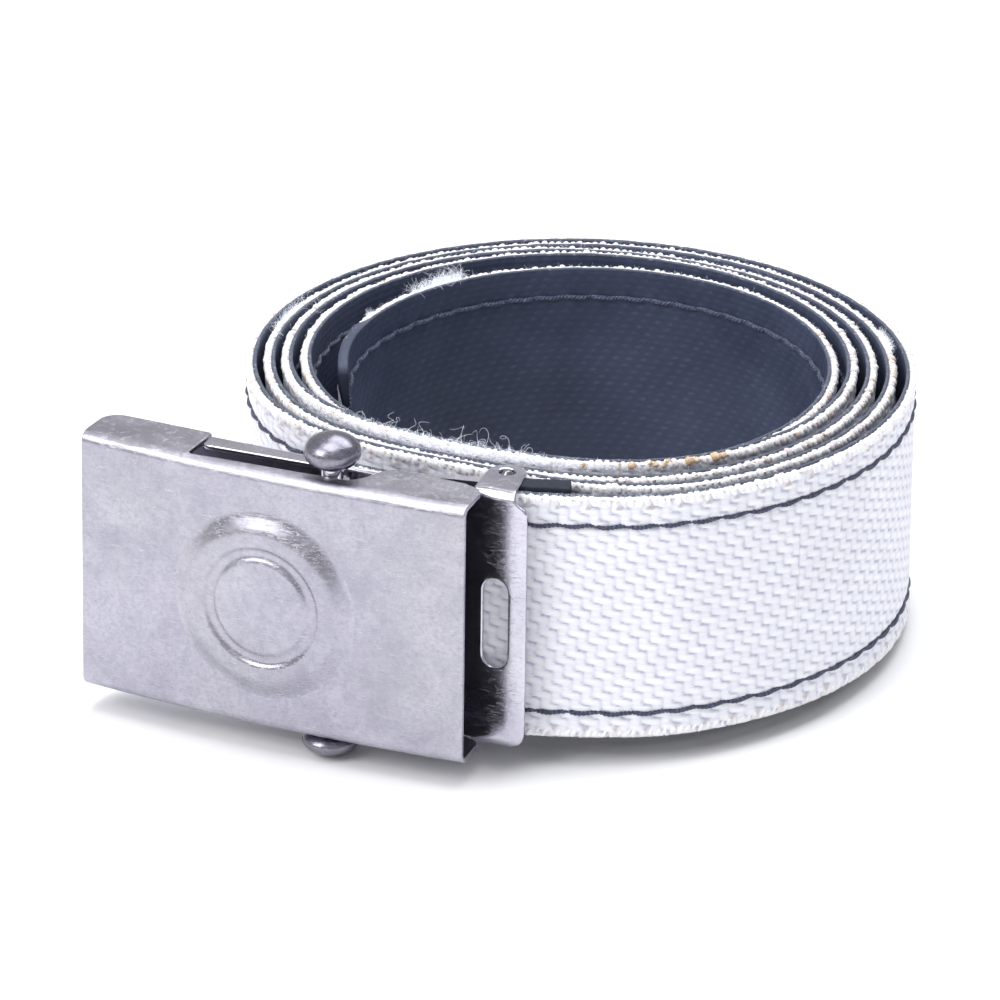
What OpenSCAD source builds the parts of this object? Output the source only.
// Rolled-up 40 mm waist belt: a two-layer strap (woven textile jacket outside,
// rubber lining inside) sewn along both edges, with a roller-lock box buckle.
// Frame: the coil's centre line is the Z axis and z = 0 is the strap's lower edge.
// +X runs along the buckle towards its strap clamp, +Y runs from the buckle back
// into the coil, +Z runs up the strap's width. Millimetres.

/* [Strap] */
// Strap width
strap_w = 40; // [38:0.5:40]
// Woven jacket thickness
jacket_t = 1.0; // [0.8:0.1:1.0]
// Rubber lining thickness
lining_t = 0.57; // [0.4:0.01:0.57]
// Height of the lower seam above the strap's lower edge
seam_low = 4.3; // [3.5:0.1:6]
// Distance of the upper seam below the strap's upper edge
seam_high = 5.0; // [3.5:0.1:6]
// Height of the seam thread
thread_w = 0.7; // [0.5:0.1:0.9]
// Corner radius of the rounded belt tip
tip_r = 11; // [6:0.5:14]

/* [Coil] */
// Radius of the strap's middle line where the tip starts
coil_r0 = 36.9; // [36:0.1:37.5]
// Radius gained per turn
coil_pitch = 3.35; // [3.3:0.01:3.4]
// Direction in which the tip starts, seen from above
tip_angle = 204.5; // [200:0.5:208]
// How far the inner turns bulge towards the back
bulge = 4.0; // [3:0.1:4.2]
// How much the turns are shifted to the tip's side
shift = 1.3; // [0.8:0.1:1.4]
// How much the outer turns are pressed in on the tip's side
squeeze = 0.9; // [0:0.1:1]
// Flattening of the turns behind the buckle, per turn
flat_per_turn = 1.6; // [1.5:0.05:1.6]
// Segments in one turn
seg = 48; // [36:12:60]

/* [Buckle box] */
// Length of the front cover
cover_l = 64.4; // [63:0.1:65]
// Outside height of the front cover
cover_h = 42.2; // [42:0.1:42.6]
// How far the cover's face bows forward at its middle
cover_bow = 1.6; // [0.5:0.1:1.8]
// Thickness of all the sheet-metal parts
sheet = 0.8; // [0.7:0.05:0.8]
// Radius of the round medallion on the cover
medal_r = 14; // [10:0.5:15]
// Height of the medallion above the cover
medal_h = 1.3; // [0.8:0.1:1.5]

/* [Lock bar] */
// Radius of the lock spindle
spindle_r = 1.7; // [1.5:0.05:1.7]
// Outer radius of the knurled roller
roller_r = 2.8; // [2.6:0.05:2.8]
// Greatest radius of the two knobs
knob_r = 4.4; // [3.5:0.05:4.5]
// Tilt of the locking slot against the cover, so that the roller wedges the strap
slot_tilt = 3.2; // [2:0.1:3.2]
// Number of grooves in the roller
knurls = 18; // [12:1:20]

/* [Strap clamp] */
// Radius of the clamp's hinge pin
pin_r = 1.0; // [0.9:0.01:1.05]
// Radial clearance of pins and spindle in their holes
run_gap = 0.06; // [0.03:0.01:0.09]
// Radius of the pin's holes in the two ears
ear_hole_r = 1.3; // [1.25:0.01:1.4]
// Outer radius of the clamp lever's barrel
barrel_r = 1.7; // [1.6:0.05:1.75]
// Number of teeth in the clamp's row
teeth = 9; // [5:1:11]

/* [Hidden] */
$fn = 64;

// strap and seams
half_t = 0.8;                      // middle line to either face of the strap
groove_depth = 0.5;
thread_gap = 0.05;                 // thread to groove and to the jacket's face

// coil
full_turns = 4;
flex_angle = -40;                  // where the strap bends between coil and buckle
flex_gap = 0.0016;                 // half the gap at the bend, in turns
exit_angle = -50;                  // where the strap leaves the coil
tip_turn = -0.03;
bulge_angle = 114.5;
bulge_turn = 1.2;                  // turn at which the bulge is greatest
bulge_scale = 1.25;
flat_angle = -90;                  // middle of the flattening
flat_half_angle = 50;
flat_last_turn = 4.3;
tail_y = -51.8;                    // middle line of the strap's end behind the plate
tail_x = -20;

// buckle
z_low = -1.1;                      // underside of the cover
z_high = z_low + cover_h;          // top of the cover
cover_left = -54.8;
cover_right = cover_left + cover_l;
cover_mid = (cover_left + cover_right) / 2;
face_y = -61.8;                    // front of the cover at its two ends
plate_y = -53.7;                   // front of the back plate
bar_x = -14.1;                     // axis of the lock bar
bar_y = -58.2;
pin_x = 9.2;                       // axis of the hinge pin
pin_y = -46.0;
slot_w = 2 * spindle_r + 0.3;
slot_left = bar_x - 22.8;
slot_right = -9.4;

// ---------- the strap's path ----------
function turns_to(angle) = (tip_angle - angle) / 360 + full_turns;
flex_turn = turns_to(flex_angle);
exit_turn = turns_to(exit_angle);

function wrap(angle) = angle - 360 * floor((angle + 180) / 360);
function turn_angle(turn) = tip_angle - 360 * turn;
function lobe(angle) = pow((1 + cos(angle)) / 2, 2);
// rises to 1 at bulge_turn, then fades
function early(turn) = turn <= 0 ? 0 : (turn / bulge_turn) * exp(1 - turn / bulge_turn);
function dip(angle) =
    let (off = wrap(angle - flat_angle))
    abs(off) < flat_half_angle ? pow(cos(off * 90 / flat_half_angle), 2) : 0;
function radius(turn) =
    let (angle = turn_angle(turn), wound = max(0, turn))
    coil_r0 + coil_pitch * turn
    + bulge_scale * bulge * early(turn) * lobe(angle - bulge_angle)
    + shift * min(1, wound) * cos(angle - tip_angle)
    - squeeze * wound / full_turns * lobe(angle - tip_angle)
    - (turn < flat_last_turn ? flat_per_turn * wound * dip(angle) : 0);
function on_turn(turn) = radius(turn) * [cos(turn_angle(turn)), sin(turn_angle(turn))];

// the strap's last stretch leaves the coil, meets the clamp and ends behind the plate:
// a Bezier curve over four control points, then a straight tail
lead_start = on_turn(exit_turn);
lead_handle = lead_start + 9 * [sin(exit_angle), -cos(exit_angle)];
lead_guide = [10, tail_y];
lead_end = [4, tail_y];
function curve(s) = pow(1 - s, 3) * lead_start + 3 * pow(1 - s, 2) * s * lead_handle
    + 3 * (1 - s) * s * s * lead_guide + s * s * s * lead_end;

// one station value for the whole strap: turns, then 1 for the curve and 1 for the tail
function path(at) =
    at <= exit_turn ? on_turn(at)
    : at <= exit_turn + 1 ? curve(at - exit_turn)
    : [lead_end.x + (tail_x - lead_end.x) * (at - exit_turn - 1), tail_y];
function unit(v) = v / norm(v);
// unit normal towards the jacket, outwards on the coil
function side(at) =
    let (step = 0.004, along = unit(path(min(at + step, exit_turn + 2)) - path(at - step)))
    [-along.y, along.x];

coil_stations = concat(
    [tip_turn],
    [for (i = [0 : floor((flex_turn - 2 * flex_gap) * seg)]) i / seg],
    [flex_turn - flex_gap]);
lead_stations = concat(
    [flex_turn + flex_gap],
    [for (i = [1 : 3]) flex_turn + (exit_turn - flex_turn) * i / 4],
    [for (i = [0 : 14]) exit_turn + i / 14],
    [exit_turn + 2]);

// ---------- the strap ----------
// outline between two offsets from the middle line
module band(stations, from, to) {
    last = len(stations) - 1;
    polygon(concat(
        [for (i = [0 : last]) path(stations[i]) + from * side(stations[i])],
        [for (i = [last : -1 : 0]) path(stations[i]) + to * side(stations[i])]));
}

module seams(stations, from, to, height) {
    for (z = [seam_low, strap_w - seam_high])
        translate([0, 0, z - height / 2]) linear_extrude(height) band(stations, from, to);
}

module jacket(stations) {
    difference() {
        linear_extrude(strap_w) band(stations, half_t - jacket_t, half_t);
        seams(stations, half_t - groove_depth, half_t + groove_depth, thread_w + 2 * thread_gap);
    }
}

module lining(stations) {
    linear_extrude(strap_w) band(stations, -half_t, -half_t + lining_t);
}

module stitching(stations) {
    seams(stations, half_t - groove_depth + thread_gap, half_t - thread_gap, thread_w);
}

// the square corner outside a quarter circle of radius tip_r; up is 1 or -1
module corner_cut(edge_z, up) {
    margin = 6;      // beyond the strap's end and edge
    depth = 5;       // through the strap
    inset = 1.4;     // cutter's middle lies this far inside the middle line
    tip = path(tip_turn);
    along = path(tip_turn + 0.02) - tip;
    translate([tip.x, tip.y, edge_z]) rotate([0, 0, atan2(along.y, along.x)])
        translate([0, -inset, 0]) rotate([90, 0, 0])
            linear_extrude(depth, center = true)
                difference() {
                    translate([-margin, up > 0 ? -tip_r : -margin])
                        square([tip_r + margin, tip_r + margin]);
                    translate([tip_r, -up * tip_r]) circle(tip_r);
                }
}

module tip_corners() {
    corner_cut(strap_w, 1);
    corner_cut(0, -1);
}

module strap_jacket() {
    color("white") difference() {
        jacket(coil_stations);
        tip_corners();
    }
}

module strap_lining() {
    color("#1d2230") difference() {
        lining(coil_stations);
        tip_corners();
    }
}

module strap_stitching() {
    color("#15171f") stitching([for (at = coil_stations) if (at > 0.02) at]);
}

module lead_jacket() { color("white") jacket(lead_stations); }

module lead_lining() { color("#1d2230") lining(lead_stations); }

module lead_stitching() {
    color("#15171f")
        stitching([for (at = lead_stations) if (at > flex_turn + 0.002 && at < exit_turn + 1.5) at]);
}

// ---------- the buckle box ----------
function face(x) = face_y - cover_bow * (1 - pow((x - cover_mid) / (cover_l / 2), 2));
face_line = [for (i = [0 : 20]) let (x = cover_left + cover_l * i / 20) [x, face(x)]];

// the locking slot's middle line and edges, along the tilted slide path
function slot_y(x) = bar_y + (x - bar_x) * tan(slot_tilt);
function slot_front(x) = slot_y(x) - slot_w / 2;
function slot_rear(x) = slot_y(x) + slot_w / 2;

// one sheet flush with the cover's underside and one flush with its top
module end_sheets() {
    for (z = [z_low, z_high - sheet])
        translate([0, 0, z]) linear_extrude(sheet) children();
}

module flange() {
    difference() {
        // the bowed face, then [x, y] back along the rear edge
        polygon(concat(face_line, [
            [cover_right - 0.4, -56.6], [cover_right - 1.4, -54.9], [6.7, -53.5], [5.6, -52.9],
            [cover_left + 3.4, -52.9], [cover_left + 1.2, -53.5], [cover_left, -55.6]]));
        // slot and the bay behind it, open at the back edge
        polygon([
            [slot_left, slot_front(slot_left) + 0.5],
            [slot_left + 0.5, slot_front(slot_left)],
            [slot_right - 1.6, slot_front(slot_right)],
            [slot_right - 0.2, slot_front(slot_right) + 0.7],
            [slot_right + 0.3, -57.4], [slot_right + 0.5, -56.0], [slot_right + 1.2, -54.6],
            [slot_right + 2.6, -53.4], [slot_right + 3.0, -52], [slot_left, -52]]);
    }
}

module front_cover() {
    tongue_x = cover_left + 6;
    tongue_w = 4;
    tongue_h = 5;
    tongue_front = -54.2;
    tongue_y = plate_y + sheet + 0.02;   // just behind the plate
    color("#a8a4ad") {
        translate([0, 0, z_low]) linear_extrude(cover_h)
            polygon(concat(face_line, [for (i = [20 : -1 : 0]) face_line[i] + [0, sheet]]));
        end_sheets() flange();
        // two crimped tongues that hold the back plate
        for (z = [z_low, z_high - tongue_h])
            translate([tongue_x, tongue_y, z]) cube([tongue_w, sheet, tongue_h]);
        for (z = [z_low, z_high - sheet])
            translate([tongue_x, tongue_front, z])
                cube([tongue_w, tongue_y + sheet - tongue_front, sheet]);
    }
}

module cover_medallion() {
    medal_x = -23;
    medal_z = 19.5;
    groove = 0.5;                        // depth of the ring groove
    color("#b6b2ba") translate([medal_x, face(medal_x) - 0.03, medal_z]) rotate([90, 0, 0])
        rotate_extrude() polygon([
            [0, 0], [medal_r, 0], [medal_r - medal_h * 1.4, medal_h],
            [medal_r - 4.2, medal_h], [medal_r - 4.9, medal_h - groove],
            [medal_r - 6.1, medal_h - groove], [medal_r - 6.8, medal_h], [0, medal_h]]);
}

module back_plate() {
    right = 16.0;
    panel_left = cover_left + 4.6;
    panel_right = 6.95;
    panel_gap = 0.05;                    // panel to either flange
    window_x = 11;
    window_r = 2.1;
    window_low = 14.3;                   // centres of the window's round ends
    window_high = 24.7;
    rail_left = slot_left + 0.4;
    rail_right = bar_x - 0.4;
    color("#9c98a2") difference() {
        union() {
            // panel between the cover's flanges
            translate([panel_left, plate_y, z_low + sheet + panel_gap])
                cube([panel_right - panel_left, sheet, cover_h - 2 * (sheet + panel_gap)]);
            // full-height end at the clamp, outline as [x, z]
            translate([0, plate_y + sheet, 0]) rotate([90, 0, 0]) linear_extrude(sheet)
                difference() {
                    polygon([
                        [6.9, z_low], [right - 3, z_low], [right - 1.5, z_low + 0.4],
                        [right - 0.4, z_low + 1.5], [right, z_low + 3],
                        [right, z_high - 2.9], [right - 0.5, z_high - 2.0],
                        [right - 1.7, z_high - 1.2], [right - 2.1, z_high - 0.5],
                        [right - 2.2, z_high], [7.2, z_high], [6.9, z_high - sheet]]);
                    // window that shows the strap
                    for (z = [window_low, window_high]) translate([window_x, z]) circle(window_r);
                    translate([window_x - window_r, window_low])
                        square([2 * window_r, window_high - window_low]);
                }
            // ears that carry the hinge pin
            end_sheets() {
                translate([pin_x, pin_y - 0.2]) circle(3.0);
                polygon([
                    [7.2, plate_y + 0.3], [13.75, plate_y + 0.3], [13.5, -52.2], [12.17, -46.6],
                    [12.1, -46.0], [6.3, -46.0], [6.23, -46.6], [7.0, -52.2]]);
            }
            // folded rails that close the rear of the slots
            end_sheets() polygon([
                [rail_left, slot_rear(slot_left)], [rail_right, slot_rear(rail_right)],
                [rail_right, plate_y + sheet], [rail_left, plate_y + sheet]]);
            for (z = [z_low, z_high - 2 * sheet])
                translate([rail_left, plate_y, z]) cube([rail_right - rail_left, sheet, 2 * sheet]);
        }
        translate([pin_x, pin_y, z_low - 1]) cylinder(r = ear_hole_r, h = cover_h + 2);
    }
}

// ---------- the strap clamp ----------
module hinge_pin() {
    // tapered, lightly domed end: [radius, distance inside the cover's outer face]
    end = [[0, -0.25], [0.5, -0.2], [0.65, 0.05], [pin_r, 0.5]];
    color("#8f8b95") translate([pin_x, pin_y, 0])
        rotate_extrude() polygon(concat(
            [for (p = end) [p.x, z_low + p.y]],
            [for (i = [3 : -1 : 0]) [end[i].x, z_high - end[i].y]]));
}

module clamp_lever() {
    end_gap = 0.4;
    barrel_z = z_low + sheet + end_gap;
    barrel_h = cover_h - 2 * (sheet + end_gap);
    arm_z = barrel_z + 1;
    arm_h = barrel_h - 2;
    tooth_pitch = arm_h / teeth;
    color("#a29ea8") difference() {
        union() {
            translate([pin_x, pin_y, barrel_z]) cylinder(r = barrel_r, h = barrel_h);
            // arm
            translate([0, 0, arm_z]) linear_extrude(arm_h) polygon([
                [pin_x + 0.1, pin_y + 1.6], [5.4, -45.3], [1.5, -46.2], [-4, -47.9], [-9, -49.3],
                [-9.4, -50.5], [-4.2, -49.3], [1.2, -47.7], [5.0, -46.9],
                [pin_x - 1.0, pin_y - 1.3]]);
            // web that carries the teeth
            translate([0, 0, arm_z]) linear_extrude(arm_h) polygon([
                [pin_x + 0.9, pin_y - 1.35], [8.3, -48.9], [5.2, -49.3], [4.8, -46.9],
                [pin_x - 0.5, pin_y]]);
            // two-pointed teeth, each 0.7 of the pitch high
            for (i = [0 : teeth - 1])
                translate([0, 0, arm_z + tooth_pitch * (i + 0.15)])
                    linear_extrude(tooth_pitch * 0.7) polygon([
                        [8.2, -48.8], [7.4, -50.0], [6.85, -49.2], [5.9, -50.3], [5.4, -49.2]]);
        }
        translate([pin_x, pin_y, barrel_z - 1]) cylinder(r = pin_r + run_gap, h = barrel_h + 2);
    }
}

// block on the lining side of the strap's curve
module clamp_pad() {
    start = exit_turn + 0.48;
    span = 0.2;
    color("#232a38") translate([0, 0, 1]) linear_extrude(strap_w - 1.2)
        band([for (i = [0 : 4]) start + span * i / 4], -half_t - 3.4, -half_t - 0.1);
}

// ---------- the lock bar ----------
spindle_low = -1.2;
spindle_high = 42;
stub_r = 1.0;                      // thin ends inside the knobs
stub_low = -3.4;
stub_high = 44.3;
knob_gap = 0.05;                   // knob to spindle and to stub

module lock_spindle() {
    color("#aaa6b0") translate([bar_x, bar_y, 0]) {
        translate([0, 0, spindle_low]) cylinder(r = spindle_r, h = spindle_high - spindle_low);
        translate([0, 0, stub_low]) cylinder(r = stub_r, h = stub_high - stub_low);
    }
}

module knurled_roller() {
    color("#8c8892") translate([bar_x, bar_y, 0.3]) difference() {
        cylinder(r = roller_r, h = 39.4);
        translate([0, 0, -1]) cylinder(r = spindle_r + run_gap, h = 42);
        for (i = [0 : knurls - 1]) rotate([0, 0, i * 360 / knurls])
            translate([roller_r + 0.12, 0, -1]) cylinder(r = 0.34, h = 42);
    }
}

// a flattened ball with a blind hole: its widest circle is waist above the base,
// its top is crown above that
module knob(waist, crown) {
    base_sine = 0.879;             // sine of the angle where the base cuts the lower ellipse
    hole_r = stub_r + knob_gap;
    hole_h = 2.3;
    rotate_extrude() polygon(concat(
        [[hole_r, 0], [2.1, 0]],
        [for (a = [-52 : 8 : -4]) [knob_r * cos(a), waist * (1 + sin(a) / base_sine)]],
        [for (a = [0 : 10 : 80]) [knob_r * cos(a), waist + crown * sin(a)]],
        [[0, waist + crown], [0, hole_h], [hole_r, hole_h]]));
}

module upper_knob() {
    color("#aeaab4") translate([bar_x, bar_y, spindle_high + knob_gap])
        knob(waist = 2.5, crown = 2.87);
}

module lower_knob() {
    color("#aeaab4") translate([bar_x, bar_y, spindle_low - knob_gap]) mirror([0, 0, 1])
        knob(waist = 1.65, crown = 2.2);
}

strap_jacket();
strap_lining();
strap_stitching();
lead_jacket();
lead_lining();
lead_stitching();
front_cover();
cover_medallion();
back_plate();
hinge_pin();
clamp_lever();
clamp_pad();
lock_spindle();
knurled_roller();
upper_knob();
lower_knob();
